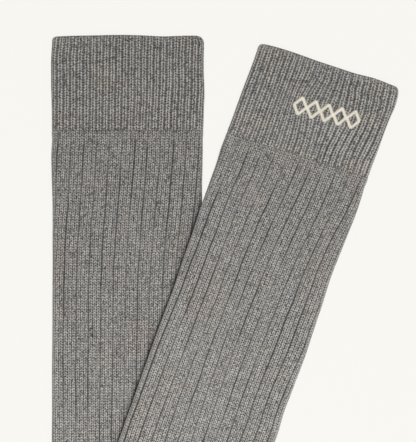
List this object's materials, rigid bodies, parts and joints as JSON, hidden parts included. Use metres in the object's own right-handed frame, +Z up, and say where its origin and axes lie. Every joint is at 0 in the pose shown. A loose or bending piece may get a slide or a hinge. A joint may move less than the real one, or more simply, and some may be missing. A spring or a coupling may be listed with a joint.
{
  "type": "pair of ribbed socks",
  "caption": "Ribbed knit socks laid flat as a pair, one slanting across the other, with finely ribbed cuffs, broad ribbed legs, turned heels and closed toes.",
  "frame": {"origin": "bottom centre of the pair's box, on the surface that the socks lie on", "axes": "+Z up from the surface, +Y towards the cuffs along the lower sock's leg, +X towards the toes"},
  "size_m": [0.2306, 0.4346, 0.0091],
  "materials": {
    "grey_heather_knit": "heathered knit, soft and dull",
    "cream_thread": "satin-stitched embroidery thread, slight sheen"
  },
  "bodies": {
    "root": {"lower_cuff": "grey_heather_knit", "lower_leg": "grey_heather_knit", "lower_heel": "grey_heather_knit", "lower_foot": "grey_heather_knit", "lower_toe": "grey_heather_knit", "upper_cuff": "grey_heather_knit", "upper_leg": "grey_heather_knit", "upper_heel": "grey_heather_knit", "upper_foot": "grey_heather_knit", "upper_toe": "grey_heather_knit"}
  },
  "joints": []
}
